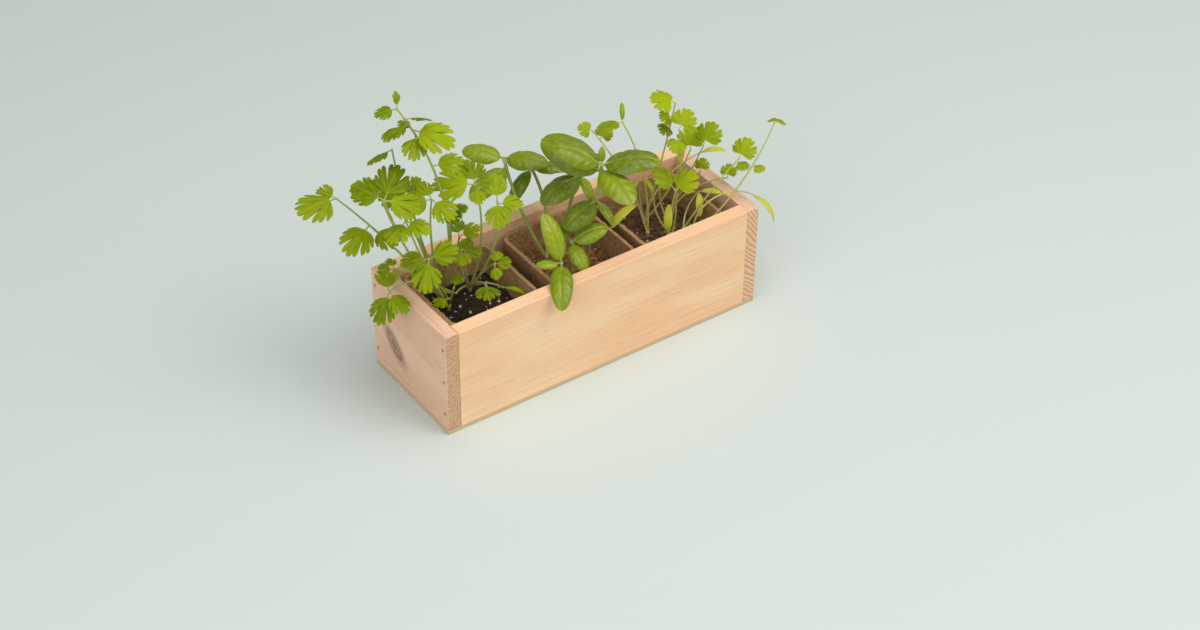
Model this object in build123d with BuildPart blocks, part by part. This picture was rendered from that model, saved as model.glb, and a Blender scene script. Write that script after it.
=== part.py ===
from build123d import *
from collections import namedtuple
from math import cos, pi, radians, sin, sqrt
import os

os.makedirs("parts", exist_ok=True)

# Peat pots, three in a row along X
pot_rim = 68.5
pot_foot = 54.0
pot_height = 72.0
pot_wall = 2.6
pot_floor = 3.0
pot_corner = 8.0
drain_hole = 9.0

# Free space round the pots
left_gap = 4.5
first_gap = 11.3
second_gap = 6.6
right_gap = 8.1
side_gap = 2.0
rim_below_top = 7.0

# Pine boards and plywood base
board_thickness = 10.0
base_thickness = 3.0
edge_round = 0.7

# Brads
brad_shank = 1.2
brad_head_width = 1.4
brad_head_height = 2.6
brad_head_depth = 0.8
brad_set = 0.4
brad_clearance = 0.05
brad_from_face = 4.0
corner_brad_length = 25.0
corner_brad_pitch = 26.8
corner_brad_rows = 3
base_brad_length = 16.0
base_brad_pitch = 80.0
base_brad_rows = 3

# Soil and roots
soil_below_rim = 18.0
soil_clearance = 0.2
root_depth = 22.0
root_radius = 1.5
root_clearance = 0.2

# Leaves sit this far from the node that carries them
leaf_clearance = 0.3

# Box sizes that follow from the pots
inner_length = left_gap + first_gap + second_gap + right_gap + 3 * pot_rim
inner_width = pot_rim + 2 * side_gap
box_length = inner_length + 2 * board_thickness
box_width = inner_width + 2 * board_thickness
board_height = pot_height + rim_below_top
board_middle = base_thickness + board_height / 2
rim_level = base_thickness + pot_height
soil_top = rim_level - soil_below_rim

parsley_x = -inner_length / 2 + left_gap + pot_rim / 2
basil_x = parsley_x + pot_rim + first_gap
cilantro_x = basil_x + pot_rim + second_gap


def brad_rows(face, spacing, count, length, gap, mode):
    """Brads driven into a face: a flat head on a square shank, with room all round."""
    sizes = (
        (brad_head_width, brad_head_height, brad_head_depth),
        (brad_shank, brad_shank, length),
    )
    start = face if gap else face.offset(-brad_set)
    sunk = brad_set if gap else 0
    for width, height, depth in sizes:
        with BuildSketch(start) as section:
            with GridLocations(*spacing, *count):
                Rectangle(width + 2 * gap, height + 2 * gap)
        extrude(section.sketch, amount=-(depth + sunk + gap), mode=mode)


# Each end board is nailed to both side boards, from its outer face
corner_spacing = (box_width - 2 * brad_from_face, corner_brad_pitch)
corner_count = (2, corner_brad_rows)
corner = (corner_spacing, corner_count, corner_brad_length)
left_face = Plane((-box_length / 2, 0, board_middle), x_dir=(0, -1, 0), z_dir=(-1, 0, 0))
right_face = Plane((box_length / 2, 0, board_middle), x_dir=(0, 1, 0), z_dir=(1, 0, 0))

# The base panel is nailed up into the side boards
base_spacing = (base_brad_pitch, box_width - 2 * brad_from_face)
base_count = (base_brad_rows, 2)
base = (base_spacing, base_count, base_brad_length)
underside = Plane((0, 0, 0), x_dir=(1, 0, 0), z_dir=(0, 0, -1))


def end_board(side, face):
    """End board across the full width, drilled for its brads."""
    with BuildPart() as board:
        with Locations((side * (box_length - board_thickness) / 2, 0, board_middle)):
            Box(board_thickness, box_width, board_height)
        fillet(board.edges(), radius=edge_round)
        brad_rows(face, *corner, brad_clearance, Mode.SUBTRACT)
    return board


def side_board(side):
    """Side board between the end boards, with pockets for the brads."""
    with BuildPart() as board:
        with Locations((0, side * (box_width - board_thickness) / 2, board_middle)):
            Box(inner_length, board_thickness, board_height)
        fillet(board.edges().filter_by(Axis.X), radius=edge_round)
        brad_rows(left_face, *corner, brad_clearance, Mode.SUBTRACT)
        brad_rows(right_face, *corner, brad_clearance, Mode.SUBTRACT)
        brad_rows(underside, *base, brad_clearance, Mode.SUBTRACT)
    return board


def finish(piece, label):
    """Label a piece and write it."""
    piece.label = label
    export_step(piece, f"parts/{label}.step")


end_board_left = end_board(-1, left_face)
end_board_right = end_board(1, right_face)
side_board_front = side_board(-1)
side_board_back = side_board(1)

with BuildPart() as base_panel:
    with Locations((0, 0, base_thickness / 2)):
        Box(box_length, box_width, base_thickness)
    fillet(base_panel.edges().filter_by(Axis.Z), radius=edge_round)
    brad_rows(underside, *base, brad_clearance, Mode.SUBTRACT)

with BuildPart() as brads_left:
    brad_rows(left_face, *corner, 0, Mode.ADD)

with BuildPart() as brads_right:
    brad_rows(right_face, *corner, 0, Mode.ADD)

with BuildPart() as brads_base:
    brad_rows(underside, *base, 0, Mode.ADD)

finish(end_board_left.part, "end_board_left")
finish(end_board_right.part, "end_board_right")
finish(side_board_front.part, "side_board_front")
finish(side_board_back.part, "side_board_back")
finish(base_panel.part, "base_panel")
finish(brads_left.part, "brads_left")
finish(brads_right.part, "brads_right")
finish(brads_base.part, "brads_base")


def pot_width(height, inset):
    """Width of the tapered pot at a height above its foot, drawn in from its outside."""
    return pot_foot + (pot_rim - pot_foot) * height / pot_height - 2 * inset


def tapered(x, low, high, inset, mode=Mode.ADD):
    """Rounded square block that follows the taper of the pot between two heights."""
    with BuildSketch(Plane((x, 0, base_thickness + low))) as bottom:
        RectangleRounded(pot_width(low, inset), pot_width(low, inset), pot_corner - inset)
    with BuildSketch(Plane((x, 0, base_thickness + high))) as top:
        RectangleRounded(pot_width(high, inset), pot_width(high, inset), pot_corner - inset)
    loft([bottom.sketch.face(), top.sketch.face()], mode=mode)


def peat_pot(x):
    """Open pot with a drain hole in its floor."""
    with BuildPart() as pot:
        tapered(x, 0, pot_height, 0)
        tapered(x, pot_floor, pot_height, pot_wall, Mode.SUBTRACT)
        with Locations((x, 0, base_thickness)):
            Hole(drain_hole / 2)
    return pot


def soil_block(x, roots):
    """Potting soil up to its level, with a pocket for each root."""
    with BuildPart() as soil:
        low = pot_floor + soil_clearance
        tapered(x, low, pot_height - soil_below_rim, pot_wall + soil_clearance)
        with Locations(*[(x + rx, ry, soil_top) for rx, ry in roots]):
            pocket = root_depth + root_clearance
            Cylinder(
                root_radius + root_clearance,
                pocket,
                align=(Align.CENTER, Align.CENTER, Align.MAX),
                mode=Mode.SUBTRACT,
            )
    return soil


# Leaf blades, one unit long from their foot to their tip along X, cut from a thin dome
blade_thickness = 0.02
half_length = 0.5
foot_width = 0.05
foot_length = 0.12

# Teeth of a lobed blade on each side of its middle one, the tooth at which its edge would close,
# and how much shorter each tooth is than the last
edge_teeth = 5.5
edge_end = 5.65
tooth_loss = 0.03

# Half height of the block that a blade is cut from
lobed_block = 0.5
smooth_block = 0.3


def lobed(tooth, fullness, cut, clefts):
    """Edge points of a lobed blade: tooth tips and notches by turns, cleft deeper between lobes."""
    points = []
    last = int(2 * edge_teeth)
    for index in range(-last, last + 1):
        steps = abs(index) / 2
        notch = clefts.get(abs(index), cut) if index % 2 else 0
        width = cos(pi / 2 * steps / edge_end) ** fullness * (1 - tooth_loss * steps)
        far = (1 - foot_length) * width * (1 - notch)
        angle = radians(tooth * index / 2)
        points.append((foot_length + far * cos(angle), far * sin(angle)))
    return points


def domed(outline, block, dome, cross=0):
    """Thin blade of an outline, bulged as a piece of a sphere, or more tightly across its length."""
    drop = sqrt(dome**2 - half_length**2)
    skin = blade_thickness / 2
    with BuildPart() as blade:
        extrude(outline.sketch, amount=block, both=True)
        with Locations((half_length, 0, -drop)):
            for offset, mode in ((skin, Mode.INTERSECT), (-skin, Mode.SUBTRACT)):
                if cross:
                    Torus(dome - cross, cross + offset, rotation=(90, 0, 0), mode=mode)
                else:
                    Sphere(dome + offset, mode=mode)
    return blade.part.solid()


def toothed_blade(points, dome):
    """Lobed blade on a narrow foot."""
    with BuildSketch() as outline:
        with BuildLine():
            foot = foot_width / 2
            Polyline((0, -foot), *points, (0, foot), close=True)
        make_face()
    return domed(outline, lobed_block, dome)


def smooth_blade(widest, half_width, shoulder, flank, dome, cross):
    """Smooth pointed blade: two arcs on each side, widest at a place along its length."""
    with BuildSketch() as outline:
        with BuildLine():
            Line((0, 0), (0, foot_width / 2))
            ThreePointArc((0, foot_width / 2), shoulder, (widest, half_width))
            ThreePointArc((widest, half_width), flank, (1, 0))
            mirror(about=Plane.XZ)
        make_face()
    return domed(outline, smooth_block, dome, cross)


parsley_edge = lobed(tooth=12.67, fullness=0.36, cut=0.13, clefts={3: 0.62, 7: 0.36})
cilantro_edge = lobed(tooth=15, fullness=0.3, cut=0.11, clefts={3: 0.52, 7: 0.3})
fan_edge = lobed(tooth=18, fullness=0.24, cut=0.11, clefts={3: 0.44, 7: 0.26})
blades = {
    "parsley": toothed_blade(parsley_edge, dome=1.6),
    "cilantro": toothed_blade(cilantro_edge, dome=1.4),
    "fan": toothed_blade(fan_edge, dome=1.1),
    "basil": smooth_blade(0.42, 0.3, (0.12, 0.19), (0.76, 0.235), dome=0.9, cross=0.4),
    "narrow": smooth_blade(0.42, 0.22, (0.12, 0.14), (0.76, 0.172), dome=0.8, cross=0.32),
    "seed": smooth_blade(0.5, 0.15, (0.2, 0.11), (0.8, 0.115), dome=0.75, cross=0.3),
}

# A herb's stalk and node radii, and how its side leaflets stand to the middle one
Herb = namedtuple("Herb", "stalk node crown spread side droop")
parsley = Herb(stalk=0.75, node=1.0, crown=2.6, spread=80, side=0.9, droop=12)
basil = Herb(stalk=1.25, node=1.7, crown=2.2, spread=180, side=1, droop=0)
cilantro = Herb(stalk=0.55, node=0.85, crown=2.0, spread=95, side=0.9, droop=12)

# Stalks leave their crown one above the other, the first from this share of its radius below its middle
first_start = 0.4

# A stalk runs in one arc from its crown to its tip, bowed off the straight line.
# A leaf names its blade, its place along the stalk, heading, pitch, roll and length.
# A leaf of three has a middle leaflet and two at its sides.
Stalk = namedtuple("Stalk", "tip bow leaves")
Leaf = namedtuple("Leaf", "blade at heading pitch roll length three", defaults=(False,))


def leaf_frame(place, leaf):
    """Frame at a node with X along the leaf and Z out of its upper side."""
    turned = Rot(Z=leaf.heading) * Rot(Y=-leaf.pitch) * Rot(X=leaf.roll)
    return Pos(*place) * turned


def leaf_solids(place, leaf, herb):
    """One blade, or three of them, standing just clear of the node."""
    frame = leaf_frame(place, leaf)
    turns = [(0, leaf.length)]
    if leaf.three:
        turns += [(side * herb.spread, leaf.length * herb.side) for side in (-1, 1)]
    reach = herb.node + leaf_clearance
    solids = []
    for turn, length in turns:
        droop = herb.droop if turn else 0
        seat = frame * Rot(Z=turn) * Rot(Y=droop) * Pos(X=reach)
        solids.append(seat * scale(blades[leaf.blade], by=length, mode=Mode.PRIVATE))
    return solids


def seedling(label, pot_x, root, herb, stalks):
    """Root, crown and stalks in one piece, and the leaves as a group of blades."""
    foot = Vector(pot_x + root[0], root[1], soil_top)
    crown = foot + Vector(0, 0, herb.crown + root_clearance)
    leaves = []
    with BuildPart() as stem:
        with Locations(foot - Vector(0, 0, root_depth)):
            Cylinder(
                root_radius,
                root_depth + herb.crown,
                align=(Align.CENTER, Align.CENTER, Align.MIN),
            )
        with Locations(crown):
            Sphere(herb.crown)
        for index, stalk in enumerate(stalks):
            tip = Vector(pot_x, 0, soil_top) + Vector(*stalk.tip)
            start = crown + Vector(0, 0, herb.crown * (index / len(stalks) - first_start))
            with BuildLine() as path:
                ThreePointArc(start, (start + tip) / 2 + Vector(*stalk.bow), tip)
            with BuildSketch(Plane(start, z_dir=path.line % 0)) as section:
                Circle(herb.stalk)
            sweep(section.sketch, path=path.line)
            for at in sorted({1, *[leaf.at for leaf in stalk.leaves]}):
                with Locations(Plane(path.line @ at, z_dir=path.line % at)):
                    Sphere(herb.node)
            for leaf in stalk.leaves:
                leaves += leaf_solids(path.line @ leaf.at, leaf, herb)
    finish(stem.part, f"{label}_stalks")
    finish(Compound(leaves), f"{label}_leaves")


def trio(blade, at, heading, pitch, roll, length):
    """Leaf of three leaflets."""
    return Leaf(blade, at, heading, pitch, roll, length, True)


parsley_roots = [(9, 15), (-14, 6), (-8, 22)]
basil_roots = [(15, 0), (4, 10), (-9, 14), (-16, -12), (-3, -8)]
cilantro_roots = [(-4, 10), (8, -3), (-10, -2), (16, 8), (14, -12), (15, -22), (2, -14)]

beds = (
    ("parsley", parsley_x, parsley_roots),
    ("basil", basil_x, basil_roots),
    ("cilantro", cilantro_x, cilantro_roots),
)
for herb_name, bed_x, bed_roots in beds:
    finish(peat_pot(bed_x).part, f"{herb_name}_pot")
    finish(soil_block(bed_x, bed_roots).part, f"{herb_name}_soil")

# Stalk tips are measured from the middle of the pot at the level of the soil
parsley_stalks = [
    [
        Stalk((9, 5, 93), (5, -3, 0), [
            Leaf("parsley", 1, 145, 0, -25, 27),
            Leaf("parsley", 1, 70, 10, 0, 23),
            Leaf("parsley", 1, -30, 20, 30, 10),
            Leaf("parsley", 0.97, -115, -15, 0, 13),
        ]),
        Stalk((16, -10, 86), (6, -4, 0), [
            Leaf("parsley", 1, -120, -25, 0, 20),
            Leaf("parsley", 0.97, -35, 0, 20, 16),
            Leaf("parsley", 1, 60, 40, 0, 17),
        ]),
        Stalk((-4, 3, 47), (-3, -3, 4), [trio("parsley", 1, -120, -10, 0, 14)]),
        Stalk((13, -10, 36), (3, 0, 4), [trio("parsley", 1, -45, 15, 30, 11)]),
        Stalk((3, -14, 26), (0, -3, 5), [Leaf("parsley", 1, -115, 5, 0, 19)]),
        Stalk((5, 20, 44), (-3, 2, 0), [trio("parsley", 1, -20, 20, 30, 14)]),
        Stalk((-6, 9, 8), (0, 0, 2), [Leaf("seed", 1, 155, 5, 0, 24)]),
        Stalk((22, -6, 10), (2, 0, 2), [Leaf("seed", 1, -60, 0, 0, 15)]),
    ],
    [
        Stalk((-77, 35, 99), (-4, 2, 12), [
            Leaf("parsley", 1, 185, 0, -12, 29),
            Leaf("parsley", 1, 115, 5, -30, 14),
            Leaf("parsley", 0.74, -156, -18, -10, 26),
            Leaf("parsley", 0.7, -75, -8, 20, 20),
        ]),
        Stalk((-59, 5, 108), (-6, 0, 4), [trio("parsley", 1, 35, 25, 15, 26)]),
        Stalk((-51, 24, 96), (-5, 2, 4), [Leaf("parsley", 1, 112, 5, -30, 21)]),
        Stalk((-47, 0, 90), (-4, -3, 4), [
            Leaf("parsley", 1, -150, -15, 0, 20),
            Leaf("parsley", 1, -65, -12, 10, 18),
        ]),
        Stalk((-36, -8, 60), (-4, -3, 4), [
            Leaf("parsley", 1, -130, -30, 0, 23),
            Leaf("parsley", 1, 165, 0, -20, 18),
            Leaf("parsley", 1, -30, 20, 30, 20),
        ]),
        Stalk((-59, 5, 35), (-2, 0, 16), [
            Leaf("parsley", 1, 80, 25, 20, 16),
            Leaf("parsley", 1, -150, -45, 0, 22),
            Leaf("parsley", 1, -80, -30, 0, 18),
        ]),
        Stalk((-46, 20, 39), (-2, 2, 10), [trio("parsley", 1, 160, 10, -20, 10)]),
        Stalk((-20, -4, 18), (0, -2, 3), [Leaf("parsley", 1, -165, 5, -10, 12)]),
        Stalk((-13, 0, 21), (0, -1, 1), [Leaf("parsley", 1, 35, 20, 0, 11)]),
    ],
    [
        Stalk((-38, 20, 161), (13, -8, 0), [
            Leaf("parsley", 1, 165, -10, -10, 14),
            Leaf("parsley", 1, 60, 60, 60, 10),
            Leaf("parsley", 0.94, -35, 0, -30, 16),
            Leaf("parsley", 0.91, 188, -8, 20, 20),
            Leaf("parsley", 0.88, -55, -8, 15, 28),
            Leaf("parsley", 0.855, -125, -20, 0, 19),
            Leaf("parsley", 0.88, 115, 20, 0, 10),
            Leaf("parsley", 0.68, -25, 8, 15, 20),
        ]),
        Stalk((-23, 7, 93), (-3, 2, 0), [
            Leaf("parsley", 1, 165, 0, -35, 19),
            Leaf("parsley", 1, -75, -20, 20, 20),
            Leaf("parsley", 1, 88, 20, 0, 14),
        ]),
        Stalk((-5, 15, 72), (3, 0, 0), [
            Leaf("parsley", 1, -105, 0, 10, 14),
            Leaf("parsley", 1, -10, -5, 10, 12),
        ]),
        Stalk((-26, 28, 82), (-1, 5, 0), [
            Leaf("parsley", 1, 140, 5, -40, 21),
            Leaf("parsley", 1, 45, 20, 10, 17),
        ]),
        Stalk((-40, 25, 128), (-5, -1, 0), [Leaf("parsley", 1, 182, -14, 30, 18)]),
    ],
]

basil_stalks = [
    [
        Stalk((12, -20, 90), (3, 3, 0), [
            Leaf("basil", 1, 140, 20, -15, 34),
            Leaf("basil", 1, -40, 10, 12, 37),
            Leaf("basil", 0.95, -92, -10, 5, 36),
            Leaf("basil", 0.91, 124, 21, -30, 43),
            Leaf("narrow", 1, 50, 70, 0, 11),
            Leaf("basil", 0.58, -168, -15, -15, 30),
            Leaf("narrow", 0.58, -75, -42, 0, 18),
        ]),
    ],
    [
        Stalk((15, 8, 65), (-2, 3, 0), [
            Leaf("basil", 1, 185, -15, -10, 33),
            Leaf("basil", 1, 140, 35, 0, 26),
            Leaf("basil", 1, 20, 15, 0, 20),
            Leaf("narrow", 1, -95, -40, 0, 17),
        ]),
    ],
    [
        Stalk((-16, 55, 64), (-6, 0, 8), [
            Leaf("basil", 1, -54, 4, 15, 30),
            Leaf("basil", 1, 135, 5, -20, 27),
            Leaf("basil", 0.92, -166, -18, 0, 34),
        ]),
        Stalk((0, 45, 55), (7, 4, 4), [
            Leaf("narrow", 1, -165, -42, 0, 27),
            Leaf("basil", 1, -38, 2, 0, 24),
        ]),
    ],
    [
        Stalk((-27, -30, 32), (-2, 0, 4), [
            Leaf("narrow", 1, 97, 58, -8, 34),
            Leaf("narrow", 1, -124, -20, 0, 35),
            Leaf("basil", 1, 152, -2, -10, 15),
        ]),
    ],
    [
        Stalk((-9, -15, 33), (0, 2, 2), [
            Leaf("basil", 1, -15, 14, 20, 25),
            Leaf("basil", 1, -95, -30, 0, 21),
            Leaf("narrow", 1, 120, 50, 0, 14),
        ]),
    ],
]

cilantro_stalks = [
    [
        Stalk((16, 5, 96), (3, 2, 0), [
            Leaf("fan", 1, 140, 10, -10, 17),
            Leaf("fan", 0.88, 175, 10, -35, 10),
            Leaf("fan", 0.8, -165, 0, -25, 10),
        ]),
        Stalk((-24, 45, 66), (-2, 0, 12), [
            Leaf("fan", 1, 140, 15, -30, 10),
            Leaf("fan", 0.9, 20, 30, 30, 11),
        ]),
        Stalk((21, 4, 42), (3, -2, 2), [Leaf("seed", 1, 45, 55, 0, 15)]),
        Stalk((44, 11, 41), (0, 5, 6), [Leaf("seed", 1, -40, 10, 10, 17)]),
    ],
    [
        Stalk((9, -9, 85), (4, -1, 0), [
            Leaf("fan", 1, 20, 35, 20, 15),
            Leaf("fan", 0.9, -150, -20, -20, 12),
        ]),
        Stalk((25, -2, 58), (1, 4, 0), [Leaf("fan", 1, 55, 48, 0, 16)]),
        Stalk((4, 1, 46), (-3, 3, 0), [Leaf("fan", 1, 145, 20, 0, 9)]),
    ],
    [
        Stalk((-21, 15, 89), (6, 0, 4), [
            Leaf("cilantro", 1, 165, -5, 10, 16),
            Leaf("seed", 1, 60, 60, 0, 12),
        ]),
        Stalk((-14, 5, 24), (0, 2, 3), [Leaf("seed", 1, 187, -20, 0, 25)]),
        Stalk((-8, 11, 38), (0, 4, 2), [Leaf("seed", 1, 182, -48, 0, 13)]),
    ],
    [
        Stalk((27, -14, 68), (4, 2, 2), [Leaf("fan", 1, 25, 40, 0, 17)]),
        Stalk((35, -2, 36), (2, 2, 3), [Leaf("fan", 1, 40, 40, 0, 9)]),
        Stalk((49, -14, 32), (2, 2, 6), [Leaf("fan", 1, 40, 35, 0, 10)]),
    ],
    [
        Stalk((54, -20, 50), (0, -2, 6), [
            Leaf("fan", 1, 15, 40, 15, 15),
            Leaf("fan", 0.92, -50, -5, 0, 10),
        ]),
        Stalk((31, -6, 23), (2, 5, 1), [
            Leaf("seed", 1, -124, -46, 0, 17),
            Leaf("seed", 1, -48, 4, 20, 15),
        ]),
    ],
    [
        Stalk((70, -36, 82), (8, -5, 5), [
            Leaf("fan", 1, 30, -20, 0, 11),
            Leaf("fan", 0.64, -40, 0, 0, 9),
        ]),
        Stalk((55, -36, 28), (0, 0, 18), [Leaf("seed", 1, -40, -56, 0, 26)]),
    ],
    [
        Stalk((0, -18, 44), (4, 2, 0), [
            Leaf("cilantro", 1, 118, 38, 0, 19),
            Leaf("cilantro", 0.94, -8, 34, 15, 19),
        ]),
        Stalk((-4, -17, 7), (0, -1, 1), [Leaf("seed", 1, 50, 60, 0, 20)]),
        Stalk((-3, 1, 30), (-3, 3, 0), [Leaf("seed", 1, 100, 40, 0, 12)]),
    ],
]

plants = (
    ("parsley", parsley_x, parsley, parsley_roots, parsley_stalks),
    ("basil", basil_x, basil, basil_roots, basil_stalks),
    ("cilantro", cilantro_x, cilantro, cilantro_roots, cilantro_stalks),
)
for herb_name, bed_x, herb, bed_roots, bed_stalks in plants:
    for number, (root, stalks) in enumerate(zip(bed_roots, bed_stalks), 1):
        seedling(f"{herb_name}_{number}", bed_x, root, herb, stalks)
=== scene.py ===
import math
import random

import bmesh
import bpy
from mathutils import Matrix, Vector, noise


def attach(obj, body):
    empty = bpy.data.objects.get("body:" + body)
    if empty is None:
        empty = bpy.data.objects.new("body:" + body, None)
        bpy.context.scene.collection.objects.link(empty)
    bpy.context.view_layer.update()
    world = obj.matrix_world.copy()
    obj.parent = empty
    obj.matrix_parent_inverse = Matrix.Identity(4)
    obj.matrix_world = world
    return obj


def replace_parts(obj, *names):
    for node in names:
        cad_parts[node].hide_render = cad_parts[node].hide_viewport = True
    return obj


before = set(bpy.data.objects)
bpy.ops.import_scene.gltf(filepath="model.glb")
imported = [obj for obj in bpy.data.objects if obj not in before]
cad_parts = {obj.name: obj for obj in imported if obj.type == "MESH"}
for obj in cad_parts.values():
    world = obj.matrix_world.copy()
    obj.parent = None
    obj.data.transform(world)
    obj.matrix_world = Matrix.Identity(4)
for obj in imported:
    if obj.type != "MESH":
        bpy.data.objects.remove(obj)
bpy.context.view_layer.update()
mm = 0.001
fullTurn = 6.28  # upper end of the random turns, in radians


def srgb(red, green, blue):
    parts = [c / 255 for c in (red, green, blue)]
    return tuple(p / 12.92 if p < 0.04045 else ((p + 0.055) / 1.055) ** 2.4 for p in parts) + (1.0,)


# Shader maths: a Wire is one output socket, and expressions on it add nodes
class Wire:
    def __init__(self, tree, socket=None):
        self.tree = tree
        self.socket = socket

    def node(self, kind, settings=None, sockets=None, out=0):
        made = self.tree.nodes.new(kind)
        for key, value in (settings or {}).items():
            setattr(made, key, value)
        for key, value in (sockets or {}).items():
            if isinstance(value, Wire):
                self.tree.links.new(value.socket, made.inputs[key])
            else:
                made.inputs[key].default_value = value
        return Wire(self.tree, made.outputs[out])

    def maths(self, operation, *values):
        return self.node("ShaderNodeMath", {"operation": operation}, dict(enumerate(values)))

    def __add__(self, other):
        return self.maths("ADD", self, other)

    def __sub__(self, other):
        return self.maths("SUBTRACT", self, other)

    def __rsub__(self, other):
        return self.maths("SUBTRACT", other, self)

    def __mul__(self, other):
        return self.maths("MULTIPLY", self, other)

    def __truediv__(self, other):
        return self.maths("DIVIDE", self, other)

    def __pow__(self, other):
        return self.maths("POWER", self, other)

    __radd__ = __add__
    __rmul__ = __mul__

    def size(self):
        return self.maths("ABSOLUTE", self)

    def smaller(self, other):
        return self.maths("MINIMUM", self, other)

    def larger(self, other):
        return self.maths("MAXIMUM", self, other)

    def zigzag(self, span):
        return self.maths("PINGPONG", self, span)

    def fade(self, low, high):  # 0 below low, 1 above high
        return self.node(
            "ShaderNodeMapRange",
            {"interpolation_type": "SMOOTHSTEP"},
            {"Value": self, "From Min": low, "From Max": high},
        )

    def mix(self, first, second):  # self is the share of the second colour
        return self.node(
            "ShaderNodeMix", {"data_type": "RGBA"}, {0: self, 6: first, 7: second}, out=2
        )

    def axes(self):  # the three numbers of a vector
        made = self.node("ShaderNodeSeparateXYZ", None, {0: self}).socket.node
        return [Wire(self.tree, output) for output in made.outputs]


def newMaterial(name, roughness=0.6, **fixed):
    material = bpy.data.materials.new(name)
    material.use_nodes = True
    shader = material.node_tree.nodes["Principled BSDF"]
    shader.inputs["Roughness"].default_value = roughness
    for key, value in fixed.items():
        shader.inputs[key.replace("_", " ")].default_value = value
    return material, Wire(material.node_tree)


def plug(material, **inputs):
    tree = material.node_tree
    shader = tree.nodes["Principled BSDF"]
    for key, wire in inputs.items():
        tree.links.new(wire.socket, shader.inputs[key.replace("_", " ")])
    return material


def millimetres(wire, turn=0.0):
    place = wire.node("ShaderNodeTexCoord", out="Object")
    return wire.node(
        "ShaderNodeMapping",
        None,
        {"Vector": place, "Rotation": (0, 0, turn), "Scale": (1 / mm, 1 / mm, 1 / mm)},
    )


noiseRoughness = 0.55


# A grain gives its cycles per unit along each axis, its detail and, for a mask, where it fades
def grainNoise(wire, vector, stretch, detail, edge=None):
    squeezed = wire.node("ShaderNodeMapping", None, {"Vector": vector, "Scale": stretch})
    found = wire.node(
        "ShaderNodeTexNoise",
        None,
        {"Vector": squeezed, "Scale": 1.0, "Detail": detail, "Roughness": noiseRoughness},
    )
    return found.fade(*edge) if edge else found


def makeGrains(wire, vector, grains):
    return {name: grainNoise(wire, vector, *grain) for name, grain in grains.items()}


def bumped(wire, height, strength, depth):
    return wire.node(
        "ShaderNodeBump", None, {"Height": height, "Strength": strength, "Distance": depth}
    )


# 1 where the surface faces along the axis, 0 where it lies along it
def facing(wire, axis):
    normal = wire.node("ShaderNodeNewGeometry", out="Normal")
    return normal.axes()[axis].size().fade(0.6, 0.9)


# Sawn pine: rings about a heart, seen as lines on the faces and arcs on the end grain
pineTones = {
    "grains": {
        "wander": ((0.011, 0.03, 0.03), 2.0),
        "ripple": ((0.05, 0.2, 0.2), 1.0),
        "fibre": ((0.035, 2.4, 2.4), 3.0),
        "fleck": ((0.07, 1.1, 1.1), 2.0, (0.66, 0.74)),
        "hair": ((0.022, 2.0, 2.0), 1.0, (0.64, 0.72)),
        "cloud": ((0.012, 0.05, 0.05), 1.0, (0.35, 0.65)),
        "pore": ((1.8, 1.8, 1.8), 2.0, (0.46, 0.62)),
    },
    "ripple": 1.2,
    "swell": 0.8,  # rings lie close and wide by turns
    "swellPace": 0.31,
    "lateness": 3.0,
    "late": srgb(212, 152, 104),
    "fleck": srgb(150, 100, 62),
    "fibreEdge": (0.45, 0.75),
    "fibreShare": 0.12,
    "fleckShare": 0.3,
    "hairShare": 0.18,
    "endPale": srgb(250, 200, 156),
    "endDark": srgb(140, 92, 62),
    "endRings": 0.4,
    "endPores": 0.55,
    "endShare": 0.85,
    "relief": {"fibre": 0.5, "late": 0.35, "pore": 0.6},
    "roughness": (0.18, 0.52),
    "bump": (0.35, 0.4 * mm),
    "knot": None,
}
sideLook = {
    **pineTones,
    "turn": 0.0,
    "endAxis": 0,
    "heart": (-115.0, -45.0),
    "wander": 8.0,
    "ringPitch": 3.4,
    "ringShare": 0.16,
    "early": srgb(255, 214, 172),
    "blush": srgb(250, 200, 156),
}
endLook = {
    **pineTones,
    "turn": -math.pi / 2,
    "endAxis": 1,
    "wander": 7.0,
    "ringShare": 0.42,
    "hairShare": 0.5,
    "early": srgb(246, 206, 176),
    "blush": srgb(238, 194, 164),
}
leftLook = {
    **endLook,
    "heart": (60.0, -60.0),
    "ringPitch": 2.6,
    "endPale": srgb(232, 182, 140),
    "endDark": srgb(122, 76, 50),
    "endPores": 0.75,
    "knot": {
        "along": 20.0, "up": 33.0, "wide": 5.2, "tall": 11.5, "lean": 42.0,
        "push": 9.0,  # how far the rings bend round it
        "tone": srgb(112, 74, 58), "grain": ((0.25, 0.25, 0.25), 2.0), "ragged": 0.35,
        "haloEdge": (0.8, 2.2), "haloShare": 0.55, "ringEdge": (0.05, 0.25), "ringShare": 0.2,
        "eyeWide": 0.24, "eyeTall": 0.5, "eyeRagged": 0.8, "eyeEdge": (0.55, 1.1),
        "eyeShare": 0.85, "darkest": 0.95,
    },
}
rightLook = {
    **endLook,
    "heart": (-223.0, 142.0),
    "ringPitch": 3.2,
    "endRings": 0.85,
    "endPores": 0.3,
}


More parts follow.
